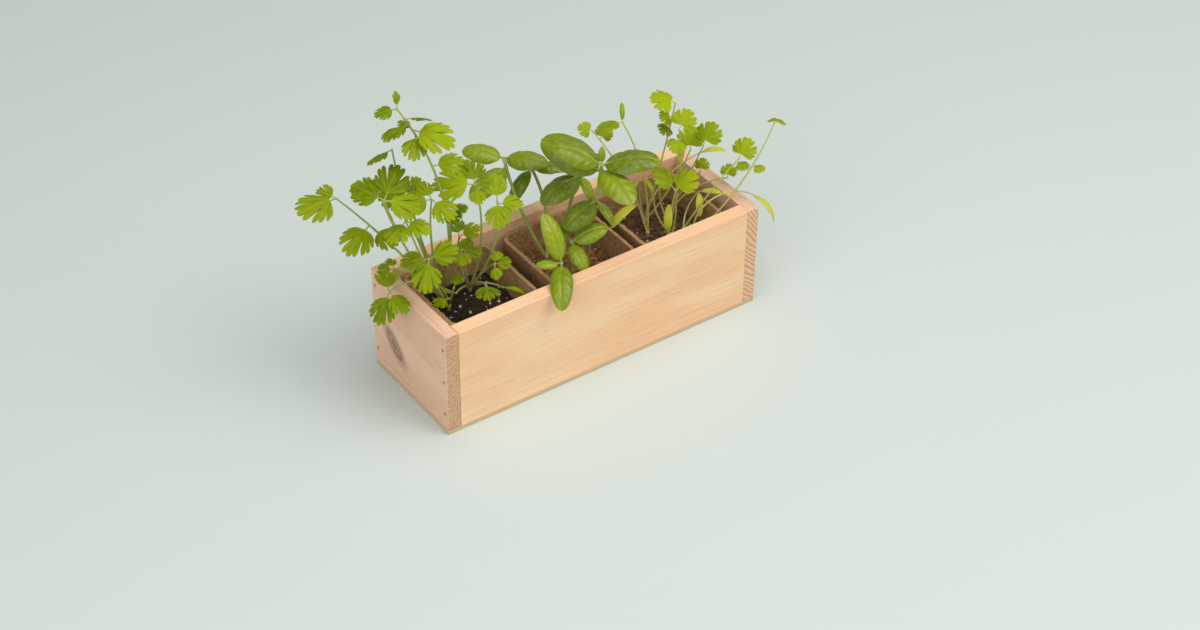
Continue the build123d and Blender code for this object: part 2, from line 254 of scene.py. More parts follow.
def knotMarks(wire, spot, ripple, knot):
    along, _, up = spot.axes()
    lean = math.radians(knot["lean"])
    level, rise = math.cos(lean), math.sin(lean)
    lengthways = (along - knot["along"]) * level + (up - knot["up"]) * rise
    sideways = (along - knot["along"]) * rise - (up - knot["up"]) * level

    def oval(wide, tall):
        return (sideways / wide) ** 2.0 + (lengthways / tall) ** 2.0

    ragged = grainNoise(wire, spot, *knot["grain"]) * knot["ragged"]
    out = (oval(knot["wide"], knot["tall"]) + ragged) ** 0.5
    halo = 1.0 - out.fade(*knot["haloEdge"])
    ring = 1.0 - (out - 1.0).size().fade(*knot["ringEdge"])
    eye = oval(knot["wide"] * knot["eyeWide"], knot["tall"] * knot["eyeTall"]) ** 0.5
    eye = 1.0 - (eye + ripple * knot["eyeRagged"]).fade(*knot["eyeEdge"])
    stain = halo * knot["haloShare"] + ring * knot["ringShare"] + eye * knot["eyeShare"]
    return halo, stain


def pineMaterial(name, look):
    material, wire = newMaterial(name)
    spot = millimetres(wire, look["turn"])
    grain = makeGrains(wire, spot, look["grains"])
    _, thick, up = spot.axes()
    heartDeep, heartHigh = look["heart"]
    ripple = grain["ripple"] - 0.5
    reach = ((thick - heartDeep) ** 2.0 + (up - heartHigh) ** 2.0) ** 0.5
    reach = reach + (grain["wander"] - 0.5) * look["wander"] + ripple * look["ripple"]
    knot = look["knot"]
    if knot:
        halo, stain = knotMarks(wire, spot, ripple, knot)
        reach = reach + halo * halo * knot["push"]
    swell = reach * look["swellPace"]
    turns = (reach + swell.maths("SINE", swell) * look["swell"]) / look["ringPitch"]
    late = turns.maths("FRACT", turns) ** look["lateness"]
    streak = grain["fibre"].fade(*look["fibreEdge"])
    colour = grain["cloud"].mix(look["early"], look["blush"])
    colour = (late * look["ringShare"]).mix(colour, look["late"])
    colour = (streak * look["fibreShare"]).mix(colour, look["late"])
    colour = (grain["fleck"] * look["fleckShare"]).mix(colour, look["fleck"])
    colour = (grain["hair"] * look["hairShare"]).mix(colour, look["fleck"])
    # Sawn ends show the ring arcs and open pores
    cut = facing(wire, look["endAxis"])
    endTone = (late * look["endRings"]).mix(look["endPale"], look["endDark"])
    endTone = (grain["pore"] * look["endPores"]).mix(endTone, look["endDark"])
    colour = (cut * look["endShare"]).mix(colour, endTone)
    if knot:
        stain = (stain * (1.0 - cut)).smaller(knot["darkest"])
        colour = stain.mix(colour, knot["tone"])
    deep = look["relief"]
    relief = grain["fibre"] * deep["fibre"] + late * deep["late"]
    relief = relief + grain["pore"] * cut * deep["pore"]
    gain, least = look["roughness"]
    return plug(
        material,
        Base_Color=colour,
        Roughness=grain["fibre"] * gain + least,
        Normal=bumped(wire, relief, *look["bump"]),
    )


boardFinishes = {
    "end_board_left": pineMaterial("pineEndLeft", leftLook),
    "end_board_right": pineMaterial("pineEndRight", rightLook),
    "side_board_front": pineMaterial("pineSideFront", sideLook),
    "side_board_back": pineMaterial("pineSideBack", {**sideLook, "heart": (-30.0, -60.0)}),
}


# Plywood base: thin crossed plies seen on its edges
plyLook = {
    "grains": {"fibre": ((0.04, 1.6, 1.6), 3.0), "cross": ((1.6, 0.04, 1.6), 3.0)},
    "pale": srgb(222, 200, 166),
    "dark": srgb(186, 150, 110),
    "ply": 1.0,
    "plyEdge": (0.35, 0.65),
    "streakEdge": (0.35, 0.75),
    "streakShare": 0.45,
    "sideShare": 0.5,
    "bump": (0.3, 0.3 * mm),
}


def plywoodMaterial():
    look = plyLook
    material, wire = newMaterial("plywoodBase", 0.65)
    spot = millimetres(wire)
    grain = makeGrains(wire, spot, look["grains"])
    layer = (spot.axes()[2] - look["ply"] / 2).zigzag(look["ply"]).fade(*look["plyEdge"])
    streak = layer * grain["cross"] + (1.0 - layer) * grain["fibre"]
    share = streak.fade(*look["streakEdge"]) * look["streakShare"]
    share = share + layer * (1.0 - facing(wire, 2)) * look["sideShare"]
    colour = share.mix(look["pale"], look["dark"])
    return plug(material, Base_Color=colour, Normal=bumped(wire, streak, *look["bump"]))


boardFinishes["base_panel"] = plywoodMaterial()


# Brads: dull steel gone brown at the heads
bradLook = {
    "steel": srgb(72, 62, 55),
    "rust": srgb(48, 32, 24),
    "patch": ((1.4, 1.4, 1.4), 3.0, (0.35, 0.6)),
    "roughness": (0.35, 0.4),
    "metal": (0.75, 0.6),
}


def bradMaterial():
    look = bradLook
    material, wire = newMaterial("bradSteel")
    rust = grainNoise(wire, millimetres(wire), *look["patch"])
    gain, least = look["roughness"]
    shine, loss = look["metal"]
    return plug(
        material,
        Base_Color=rust.mix(look["steel"], look["rust"]),
        Roughness=rust * gain + least,
        Metallic=shine - rust * loss,
    )


bradFinish = bradMaterial()
for node in ("brads_left", "brads_right", "brads_base"):
    boardFinishes[node] = bradFinish
for node, finish in boardFinishes.items():
    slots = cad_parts[node].data.materials
    slots.clear()
    slots.append(finish)
print("boards finished")


# Shared making of pieces
def finishPiece(bm, name, material, body, sharp=50):
    bm.normal_update()
    for edge in bm.edges:
        edge.smooth = edge.calc_face_angle(0) < math.radians(sharp)
    for face in bm.faces:
        face.smooth = True
    mesh = bpy.data.meshes.new(name)
    bm.to_mesh(mesh)
    bm.free()
    mesh.materials.append(material)
    piece = bpy.data.objects.new(name, mesh)
    bpy.context.scene.collection.objects.link(piece)
    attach(piece, body)
    return piece


def addInto(whole, part):
    carrier = bpy.data.meshes.new("carrier")
    part.to_mesh(carrier)
    part.free()
    whole.from_mesh(carrier)
    bpy.data.meshes.remove(carrier)


def closeHoles(bm):
    bmesh.ops.holes_fill(bm, edges=[e for e in bm.edges if e.is_boundary], sides=0)
    bmesh.ops.recalc_face_normals(bm, faces=bm.faces[:])


# Where each pot stands, and the level of the soil, which the plants share
pots = {"parsley": -79.25, "basil": 0.55, "cilantro": 75.65}
soilTop = 57.0

# Pressed peat pots: tapered, round at the corners, rough at the rim
peatLook = {
    "rim": 68.5, "foot": 54.0, "low": 3.0, "high": 75.0, "wall": 2.6,
    "corner": 8.0, "cornerSegments": 6, "drain": 4.5, "floorBands": (8.0, 12.0),
    "wallCuts": 44, "sideCuts": 32,
    "rimBand": 6.0, "rimRough": 0.5, "wallRough": 0.22, "flatFoot": 0.5,
    "lumps": {900: 0.6, 300: 0.4},  # share of each pitch of lump, per metre
    "grains": {
        "crumb": ((0.45, 0.45, 0.45), 5.0),
        "dampAndShade": ((0.04, 0.04, 0.04), 2.0, (0.35, 0.65)),
    },
    "strand": ((0.09, 1.3, 1.3), 2.0, (0.58, 0.7)),
    "strandTurns": ((0.9, 0.3, 0.4), (2.3, 1.1, 1.7), (0.2, 2.0, 2.6)),
    "pale": srgb(222, 186, 136),
    "mid": srgb(192, 150, 100),
    "dark": srgb(142, 106, 64),
    "crumbEdge": (0.35, 0.65),
    "dampShare": 0.4,
    "strandShare": 0.6,
    "strandRelief": 0.5,
    "bump": (0.7, 0.8 * mm),
}


def peatMaterial():
    look = peatLook
    material, wire = newMaterial("pressedPeat", 0.9)
    spot = millimetres(wire)
    grain = makeGrains(wire, spot, look["grains"])
    strands = None
    for turn in look["strandTurns"]:
        slanted = wire.node("ShaderNodeMapping", None, {"Vector": spot, "Rotation": turn})
        strand = grainNoise(wire, slanted, *look["strand"])
        strands = strands.larger(strand) if strands else strand
    colour = grain["crumb"].fade(*look["crumbEdge"]).mix(look["dark"], look["mid"])
    colour = (grain["dampAndShade"] * look["dampShare"]).mix(colour, look["mid"])
    colour = (strands * look["strandShare"]).mix(colour, look["pale"])
    relief = grain["crumb"] + strands * look["strandRelief"]
    return plug(material, Base_Color=colour, Normal=bumped(wire, relief, *look["bump"]))


def standingEdges(bm):
    return [e for e in bm.edges if abs(e.verts[0].co.z - e.verts[1].co.z) > 10 * mm]


def makePot(herb, material):
    look = peatLook
    bm = bmesh.new()
    bmesh.ops.create_cube(bm, size=1.0)
    tall = look["high"] - look["low"]
    for vert in bm.verts:
        width = look["rim"] if vert.co.z > 0 else look["foot"]
        vert.co = Vector((vert.co.x * width, vert.co.y * width, (vert.co.z + 0.5) * tall)) * mm
    lid = max(bm.faces, key=lambda face: face.calc_center_median().z)
    bmesh.ops.delete(bm, geom=[lid], context="FACES_ONLY")
    bmesh.ops.bevel(
        bm,
        geom=standingEdges(bm),
        offset=look["corner"] * mm,
        offset_type="OFFSET",
        segments=look["cornerSegments"],
        profile=0.5,
        affect="EDGES",
        material=-1,
    )
    # The floor draws in to the drain hole
    floor = min(bm.faces, key=lambda face: face.calc_center_median().z)
    for band in look["floorBands"]:
        bmesh.ops.inset_region(bm, faces=[floor], thickness=band * mm, use_even_offset=True)
    for vert in floor.verts:
        vert.co = vert.co.normalized() * look["drain"] * mm
    bmesh.ops.delete(bm, geom=[floor], context="FACES_ONLY")
    risers = standingEdges(bm)
    bmesh.ops.subdivide_edges(bm, edges=risers, cuts=look["wallCuts"], use_grid_fill=True)
    longOnes = [e for e in bm.edges if e.calc_length() > 20 * mm]
    bmesh.ops.subdivide_edges(bm, edges=longOnes, cuts=look["sideCuts"], use_grid_fill=True)
    bmesh.ops.recalc_face_normals(bm, faces=bm.faces[:])
    bmesh.ops.solidify(bm, geom=bm.faces[:], thickness=look["wall"] * mm)
    bmesh.ops.recalc_face_normals(bm, faces=bm.faces[:])
    bm.normal_update()
    # Rough fibre, most of all at the rim, over a flat foot
    seed = Vector((pots[herb], 0, 0))
    moves = {}
    for vert in bm.verts:
        near = max(0.0, 1 - (tall * mm - vert.co.z) / (look["rimBand"] * mm))
        rough = look["wallRough"] + (look["rimRough"] - look["wallRough"]) * near
        lumps = look["lumps"].items()
        shake = sum(noise.noise(vert.co * pitch + seed) * share for pitch, share in lumps)
        moves[vert] = vert.normal * shake * rough * mm
    for vert, move in moves.items():
        if vert.co.z > look["flatFoot"] * mm:
            vert.co += move
    bmesh.ops.translate(bm, verts=bm.verts, vec=Vector((pots[herb], 0, look["low"])) * mm)
    piece = finishPiece(bm, herb + "PeatPot", material, herb + "_pot")
    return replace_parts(piece, herb + "_pot")


# Potting soil: a lumpy top, loose crumbs and white perlite, darkened by painted shade
soilLook = {
    "low": 6.2, "clearance": 0.2, "segments": 64,
    "lump": 1.6, "lumpPitch": 0.09, "clod": 0.7, "clodPitch": 0.5, "sunk": 0.5,
    "edgeFrom": 0.8,  # share of the half width where the soil starts to fall off
    "edgeFall": 6.0, "edgePitch": 0.12,
    "crumbs": 420,
    "perlite": {"parsley": 60, "basil": 14, "cilantro": 24},
    # Share of painted shade over each pot's soil
    "dampAndShade": {"parsley": 1.0, "basil": 0.0, "cilantro": 0.6},
    "crumbSize": (0.4, 1.5), "perliteSize": (0.6, 1.4), "smallness": 2.5,
    "wallMargin": 2.5, "proud": 0.25,
    "grains": {
        "clump": ((0.35, 0.35, 0.35), 5.0),
        "grit": ((1.6, 1.6, 1.6), 3.0),
        "shred": ((0.25, 1.4, 1.0), 2.0, (0.62, 0.7)),
    },
    "pale": srgb(206, 154, 96),
    "mid": srgb(160, 112, 64),
    "dark": srgb(84, 58, 36),
    "paintedSoilShade": srgb(18, 12, 9),
    "white": srgb(226, 220, 206),
    "clumpEdge": (0.36, 0.64),
    "gritEdge": (0.5, 0.7),
    "gritShare": 0.5,
    "shredShare": 0.55,
    "gritThroughShade": 0.2,
    "gritRelief": 0.5,
    "bump": (0.8, 0.8 * mm),
}


def ownMark(wire, name):
    return wire.node("ShaderNodeAttribute", {"attribute_name": name}, out="Fac")


def soilMaterial():
    look = soilLook
    material, wire = newMaterial("pottingSoil", 0.95)
    grain = makeGrains(wire, millimetres(wire), look["grains"])
    grit = grain["grit"]
    colour = grain["clump"].fade(*look["clumpEdge"]).mix(look["dark"], look["mid"])
    colour = (grit.fade(*look["gritEdge"]) * look["gritShare"]).mix(colour, look["pale"])
    colour = (grain["shred"] * look["shredShare"]).mix(colour, look["pale"])
    # Painted shade: the soil is darkened all over by its pot's share, a little less on the grit
    colour = (ownMark(wire, "dampAndShade") * (1.0 - grit * look["gritThroughShade"])).mix(colour, look["paintedSoilShade"])
    chalk = (grit * look["gritShare"]).mix(look["white"], look["pale"])
    colour = ownMark(wire, "perlite").mix(colour, chalk)
    relief = grain["clump"] + grit * look["gritRelief"]
    return plug(material, Base_Color=colour, Normal=bumped(wire, relief, *look["bump"]))


def potWidth(height):
    share = (height - peatLook["low"]) / (peatLook["high"] - peatLook["low"])
    return peatLook["foot"] + (peatLook["rim"] - peatLook["foot"]) * share - 2 * peatLook["wall"]


def makeSoil(herb, material):
    look = soilLook
    rng = random.Random("soil" + herb)
    shift = Vector((rng.uniform(0, 90), rng.uniform(0, 90), 0))
    half = potWidth(soilTop) / 2 - look["clearance"]
    bend = half - (peatLook["corner"] - peatLook["wall"])

    def ground(x, y):
        spot = Vector((x, y, 0)) + shift
        rise = noise.fractal(spot * look["lumpPitch"], 1.0, 2.0, 3) * look["lump"]
        rise += abs(noise.noise(spot * look["clodPitch"])) * look["clod"]
        edge = max(0.0, max(abs(x), abs(y)) / half - look["edgeFrom"])
        fall = look["edgeFall"] * edge * (0.5 + noise.noise(spot * look["edgePitch"]))
        return soilTop + rise - look["sunk"] - fall

    bm = bmesh.new()
    white = bm.faces.layers.float.new("perlite")
    dampAndShade = bm.faces.layers.float.new("dampAndShade")
    bmesh.ops.create_grid(bm, x_segments=look["segments"], y_segments=look["segments"], size=half)
    for vert in bm.verts:
        x, y = vert.co.x, vert.co.y
        if abs(x) > bend and abs(y) > bend:  # round corners
            way = Vector((abs(x) - bend, abs(y) - bend))
            way = way.normalized() * max(way.x, way.y)
            x = math.copysign(bend + way.x, x)
            y = math.copysign(bend + way.y, y)
        vert.co = Vector((x, y, ground(x, y)))
    rim = [e for e in bm.edges if e.is_boundary]
    skirt = bmesh.ops.extrude_edge_only(bm, edges=rim)
    shrink = (potWidth(look["low"]) / 2 - look["clearance"]) / half
    for vert in (g for g in skirt["geom"] if isinstance(g, bmesh.types.BMVert)):
        vert.co = Vector((vert.co.x * shrink, vert.co.y * shrink, look["low"]))
    closeHoles(bm)
    pieces = [(look["crumbSize"], 0.0)] * look["crumbs"]
    pieces += [(look["perliteSize"], 1.0)] * look["perlite"][herb]
    reach = half - look["wallMargin"]
    for (small, large), shade in pieces:
        x, y = rng.uniform(-reach, reach), rng.uniform(-reach, reach)
        radius = small + (large - small) * rng.random() ** look["smallness"]
        made = bmesh.ops.create_icosphere(bm, subdivisions=1, radius=radius)
        angle = rng.uniform(0, fullTurn)
        turn = Matrix.Rotation(angle, 4, Vector((rng.random(), rng.random(), 0.3)))
        spread = (rng.uniform(0.8, 1.5), rng.uniform(0.7, 1.1), rng.uniform(0.6, 1.0), 1)
        for vert in made["verts"]:
            vert.co *= rng.uniform(0.8, 1.2)
        seat = Matrix.Translation((x, y, ground(x, y) + radius * look["proud"]))
        seat = seat @ turn @ Matrix.Diagonal(spread)
        bmesh.ops.transform(bm, matrix=seat, verts=made["verts"])
        for face in {f for v in made["verts"] for f in v.link_faces}:
            face[white] = shade
    # Every face carries its pot's share of painted shade
    for face in bm.faces:
        face[dampAndShade] = look["dampAndShade"][herb]
    place = Matrix.Scale(mm, 4) @ Matrix.Translation((pots[herb], 0, 0))
    bmesh.ops.transform(bm, matrix=place, verts=bm.verts)
    piece = finishPiece(bm, herb + "Soil", material, herb + "_pot", sharp=35)
    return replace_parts(piece, herb + "_soil")


pressedPeat = peatMaterial()
pottingSoil = soilMaterial()
for herb in pots:
    makePot(herb, pressedPeat)
    makeSoil(herb, pottingSoil)
print("pots and soil made")


# Blades are one unit long along X from the foot, with their upper side towards Z.
# Clefts are told by their half teeth from the middle line, and give their depth.
blades = {
    "parsley": {
        "tooth": 12.67, "fullness": 0.36, "cut": 0.13, "clefts": {3: 0.62, 7: 0.36},
        "dome": 1.6, "ruffle": 0.035, "rings": 10,
    },
    "cilantro": {
        "tooth": 15.0, "fullness": 0.3, "cut": 0.11, "clefts": {3: 0.52, 7: 0.3},
        "dome": 1.4, "ruffle": 0.03, "rings": 9,
    },
    "fan": {
        "tooth": 18.0, "fullness": 0.24, "cut": 0.11, "clefts": {3: 0.44, 7: 0.26},
        "dome": 1.1, "ruffle": 0.035, "rings": 9,
    },
    "basil": {
        "widest": 0.42, "half": 0.3, "dome": 0.9, "cross": 0.4, "quilt": 0.02, "ruffle": 0.01,
        "chart": 0.5,
    },
    "narrow": {
        "widest": 0.42, "half": 0.22, "dome": 0.8, "cross": 0.32, "quilt": 0.015, "ruffle": 0.006,
        "chart": 0.5,
    },
    "seed": {
        "widest": 0.5, "half": 0.15, "dome": 0.75, "cross": 0.3, "quilt": 0.0, "ruffle": 0.006,
        "chart": 0.06,
    },
}
# What the blades share: lobes fan out from the foot, smooth blades puff up between side veins
bladeForm = {
    "thickness": 0.014, "weld": 0.0004, "curl": 0.05, "smoothCurl": 0.6,
    "stemReach": 0.17, "stemSides": 8,
    "foot": 0.12, "teeth": 5.5, "toothSamples": 6, "pastEdge": 0.15,
    "scallop": 0.42, "narrowing": 0.03, "cleftReach": 0.6,
    "lobes": (0.0, 2.6, 4.6),  # main veins, in teeth from the middle line
    "chart": 20.0,  # teeth across the vein map
    "groove": 0.016, "grooveWidth": 0.5, "grooveEnd": 1.3, "waves": (17.0, 7.0), "quickWave": 0.6,
    "grid": (26, 16), "footRound": 0.55, "tipRound": 0.52,
    "sideVeins": 6, "slant": 0.2, "puff": 3, "midrib": 1.4, "midribWidth": 0.07, "flutter": 19,
}


def domeHeight(shape, x, y):
    dome = shape["dome"]
    cross = shape.get("cross", dome)
    ridge = dome - cross + math.sqrt(cross**2 - y**2)
    return math.sqrt(ridge**2 - (x - 0.5) ** 2) - math.sqrt(dome**2 - 0.25)


def lobedPoint(shape, out, angle, wave):
    form = bladeForm
    steps = abs(angle) / shape["tooth"]
    sweep = min(1.0, steps / (form["teeth"] + form["pastEdge"]))
    width = math.cos(math.pi / 2 * sweep) ** shape["fullness"]
    depth = shape["clefts"].get(2 * int(steps) + 1, shape["cut"])
    scallop = abs(math.cos(math.pi * steps)) ** form["scallop"]
    notch = depth * (1 - scallop) * out ** form["cleftReach"]
    edge = width * (1 - form["narrowing"] * steps) * (1 - notch)
    far = (1 - form["foot"]) * edge * out
    x = form["foot"] + far * math.cos(math.radians(angle))
    y = far * math.sin(math.radians(angle))
    lobe = min(abs(steps - bearing) for bearing in form["lobes"])
    groove = form["groove"] * math.exp(-((lobe / form["grooveWidth"]) ** 2))
    z = domeHeight(shape, x, y) - groove * out * (form["grooveEnd"] - out)
    slow, quick = (math.sin(angle / form["waves"][i] + wave[i]) for i in (0, 1))
    lift = slow + form["quickWave"] * quick
    return Vector((x, y, z + shape["ruffle"] * out**2 * lift + wave[2] * x * x))


def smoothPoint(shape, along, across, wave):
    form = bladeForm
    widest = shape["widest"]
    if along < widest:
        width = shape["half"] * math.sin(math.pi / 2 * along / widest) ** form["footRound"]
    else:
        width = (1 - ((along - widest) / (1 - widest)) ** 2) ** form["tipRound"] * shape["half"]
    y = across * width
    side = abs(across)
    taper = max(0.0, math.sin(math.pi * min(1.0, along))) ** 0.5
    vein = math.sin(math.pi * form["sideVeins"] * (along - form["slant"] * side))
    puff = vein**2 * side * (1 - side**3) * form["puff"]
    midrib = form["midrib"] * math.exp(-((across / form["midribWidth"]) ** 2))
    z = domeHeight(shape, along, y) + shape["quilt"] * (puff - midrib) * taper
    z += shape["ruffle"] * side**2 * math.sin(along * form["flutter"] + wave[0] + across) * taper
    return Vector((along, y, z + wave[2] * form["smoothCurl"] * along * along))


def makeBlade(kind, length, gap, stemRadius, marks, rng):
    shape = blades[kind]
    form = bladeForm
    curl = form["curl"]
    wave = (rng.uniform(0, fullTurn), rng.uniform(0, fullTurn), rng.uniform(-curl, curl))
    bm = bmesh.new()
    layers = {name: bm.faces.layers.float.new(name) for name in leafMarks}
    vein = bm.loops.layers.uv.new("vein")
    if "clefts" in shape:
        makePoint = lobedPoint
        across = form["teeth"] * shape["tooth"]
        chart = 1 / shape["tooth"] / form["chart"]
        rows, columns = shape["rings"], round(2 * form["teeth"] * form["toothSamples"])
    else:
        makePoint = smoothPoint
        across = 1.0
        chart = shape["chart"]
        rows, columns = form["grid"]
    bmesh.ops.create_grid(bm, x_segments=rows, y_segments=columns, size=1.0)
    spots = {v: ((v.co.x + 1) / 2, v.co.y * across) for v in bm.verts}
    for loop in (l for f in bm.faces for l in f.loops):
        out, aside = spots[loop.vert]
        loop[vein].uv = (0.5 + aside * chart, out)
    for vert, (out, aside) in spots.items():
        vert.co = makePoint(shape, out, aside, wave)
    bmesh.ops.remove_doubles(bm, verts=bm.verts, dist=form["weld"])
    bmesh.ops.recalc_face_normals(bm, faces=bm.faces[:])
    bm.normal_update()
    if sum(f.normal.z for f in bm.faces) < 0:
        bmesh.ops.reverse_faces(bm, faces=bm.faces[:])
    bmesh.ops.solidify(bm, geom=bm.faces[:], thickness=form["thickness"])
    bm.normal_update()
    for face in bm.faces:
        face[layers["under"]] = 1.0 if face.normal.z < 0 else 0.0
    # Short stem from the node into the foot of the blade
    inside = form["stemReach"]
    start = Vector((-gap / length, 0, 0))
    end = Vector((inside, 0, domeHeight(shape, inside, 0) - form["thickness"]))
    way = end - start
    seat = Matrix.Translation((start + end) / 2) @ way.to_track_quat("Z", "Y").to_matrix().to_4x4()
    made = bmesh.ops.create_cone(
        bm,
        cap_ends=True,
        segments=form["stemSides"],
        radius1=stemRadius / length,
        radius2=form["thickness"],
        depth=way.length,
        matrix=seat,
    )
    for face in {f for v in made["verts"] for f in v.link_faces}:
        face[layers["rib"]] = 1.0
    for face in bm.faces:
        face[layers["tint"]] = marks[0]
        face[layers["age"]] = marks[1]
    return bm


# Leaf finish: tone from each leaf's own marks, paler veins along the vein map, and painted shade in
# the basil side-vein grooves and at the basil margins
leafMarks = ("tint", "age", "under", "rib")
leafVeins = {
    "midrib": (0.02, 0.09),
    "side": (0.004, 0.02),
    "sideStart": (0.02, 0.12),
    "lobe": (0.05, 0.2),
    "tooth": (0.03, 0.14),
    "toothStart": (0.35, 0.65),
}
parsleyLook = {
    "grains": {"mottle": ((0.16, 0.16, 0.16), 3.0), "cells": ((1.1, 1.1, 1.1), 2.0)},
    "mottleEdge": (0.4, 0.7),
    "mottleShare": 0.4,
    "cellEdge": (0.4, 0.75),
    "cellShare": 0.22,
    "cellRelief": 0.35,
    "tipEdge": (0.82, 1.0),
    "rimEdge": (0.6, 1.0),
    "mainShare": 0.75,
    "underShare": 0.55,
    "ribShare": 0.85,
    "bump": (0.4, 0.4 * mm),
    "roughness": 0.5,
    "coat": 0.03,
    "pinnate": False,
    "veinShare": 0.24,
    "branchShare": 0.1,
    "sunken": 0.0,
    "veinDepth": 0.4,
    "specular": 0.07,
    "rimShare": 0.15,
    "deep": srgb(96, 116, 0),
    "bright": srgb(146, 164, 4),
    "vein": srgb(180, 188, 60),
    "old": srgb(168, 172, 40),
    "under": srgb(142, 156, 54),
    "stem": srgb(164, 176, 86),
    "pale": srgb(190, 194, 116),
    "foot": srgb(168, 160, 92),
}
basilLook = {
    **parsleyLook,
    "roughness": 0.4,
    "coat": 0.7,
    # Painted shade at the margins and in the side-vein grooves
    "rimShade": 0.45,
    "pinnate": True,
    "veinShare": 0.3,
    "branchShare": 0.0,
    "sunken": 0.35,
    "veinDepth": 0.8,
    "specular": 0.08,
    "rimShare": 0.1,
    "deep": srgb(100, 118, 0),
    "bright": srgb(152, 168, 8),
    "vein": srgb(176, 188, 60),
    "under": srgb(150, 164, 70),
    "stem": srgb(158, 172, 84),
}
cilantroLook = {
    **parsleyLook,
    "veinShare": 0.25,
    "deep": srgb(112, 132, 0),
    "bright": srgb(156, 172, 4),
    "old": srgb(208, 204, 70),
    "stem": srgb(188, 188, 88),
    "foot": srgb(198, 186, 116),
}


def leafMaterial(name, look):
    form = bladeForm
    material, wire = newMaterial(
        name, look["roughness"], Coat_Roughness=0.25, Specular_IOR_Level=look["specular"]
    )
    marks = {key: ownMark(wire, key) for key in leafMarks}
    grain = makeGrains(wire, millimetres(wire), look["grains"])
    mottle, cells = grain["mottle"], grain["cells"]
    across, out, _ = wire.node("ShaderNodeUVMap", {"uv_map": "vein"}).axes()
    if look["pinnate"]:
        side = ((across - 0.5) * 2.0).size()
        main = 1.0 - side.fade(*leafVeins["midrib"])
        slant = out - side * form["slant"] + 1 / form["sideVeins"]
        branch = 1.0 - slant.zigzag(0.5 / form["sideVeins"]).fade(*leafVeins["side"])
        branch = branch * side.fade(*leafVeins["sideStart"])
    else:
        bearing = ((across - 0.5) * form["chart"]).size()
        lobe = bearing
        for vein in form["lobes"][1:]:
            lobe = lobe.smaller((bearing - vein).size())
        main = 1.0 - (lobe * out).fade(*leafVeins["lobe"])
        branch = 1.0 - (bearing.zigzag(0.5) * out).fade(*leafVeins["tooth"])
        branch = branch * out.fade(*leafVeins["toothStart"])
    veins = (main * look["mainShare"]).larger(branch * look["branchShare"])
    colour = marks["tint"].mix(look["deep"], look["bright"])
    colour = (mottle.fade(*look["mottleEdge"]) * look["mottleShare"]).mix(colour, look["bright"])
    colour = (cells.fade(*look["cellEdge"]) * look["cellShare"]).mix(colour, look["deep"])
    colour = (out.fade(*look["tipEdge"]) * look["rimShare"]).mix(colour, look["bright"])
    # Painted shade: side veins are darkened towards the deep green, as shade in their grooves
    colour = (branch * look["sunken"]).mix(colour, look["deep"])
    # Painted shade: on basil the margins are darkened towards the deep green, as if curled away
    # from the light
    if look["pinnate"]:
        colour = (side.fade(*look["rimEdge"]) * look["rimShade"]).mix(colour, look["deep"])
    colour = (veins * look["veinShare"]).mix(colour, look["vein"])
    colour = marks["age"].mix(colour, look["old"])
    colour = (marks["under"] * look["underShare"]).mix(colour, look["under"])
    colour = (marks["rib"] * look["ribShare"]).mix(colour, look["stem"])
    relief = cells * look["cellRelief"] - veins * look["veinDepth"]
    return plug(
        material,
        Base_Color=colour,
        Roughness=mottle * 0.2 + (look["roughness"] - 0.1) + marks["under"] * 0.15,
        Coat_Weight=(1.0 - marks["under"]) * look["coat"],
        Normal=bumped(wire, relief, *look["bump"]),
    )


# Stalks: one tube each, swept round its arc, drawn in towards the tip and swollen at its nodes
stalkForm = {
    "step": 2.0, "fewestSteps": 10, "swelling": 0.3, "swellingReach": 1.6,
    "uneven": 0.08, "unevenPitch": 0.35,
    "knuckle": 0.8, "knuckleUneven": 0.12, "knucklePitch": 1.3,
    "crownFlat": 0.9, "crownLift": 0.2,
    "firstStart": 0.4,  # how far below the middle of the crown the first stalk starts
    "rootDepth": 20.0, "rootEnds": (0.5, 1.5), "rootSides": 10,
    "greening": 50.0, "streak": ((1.2, 1.2, 0.12), 2.0), "streakEdge": (0.42, 0.7),
    "streakShare": 0.4, "roughness": (0.2, 0.38), "bump": (0.35, 0.4 * mm),
}


def stalkMaterial(name, look):
    form = stalkForm
    material, wire = newMaterial(name)
    spot = millimetres(wire)
    rise = spot.axes()[2].fade(soilTop, soilTop + form["greening"])
    streak = grainNoise(wire, spot, *form["streak"])
    colour = rise.mix(look["foot"], look["stem"])
    colour = (streak.fade(*form["streakEdge"]) * form["streakShare"]).mix(colour, look["pale"])
    gain, least = form["roughness"]
    return plug(
        material,
        Base_Color=colour,
        Roughness=streak * gain + least,
        Normal=bumped(wire, streak, *form["bump"]),
    )


def arcThrough(start, middle, end):
    b, c = middle - start, end - start
    n = b.cross(c)
    offset = c.length_squared * n.cross(b) + b.length_squared * c.cross(n)
    centre = start + offset / (2 * n.length_squared)
    n.normalize()
    r0, r1 = start - centre, end - centre
    angle = math.atan2(n.dot(r0.cross(r1)), r0.dot(r1)) % (2 * math.pi)
    return centre, n, r0, angle


def arcPoint(arc, share):
    centre, n, r0, angle = arc
    return centre + Matrix.Rotation(angle * share, 3, n) @ r0


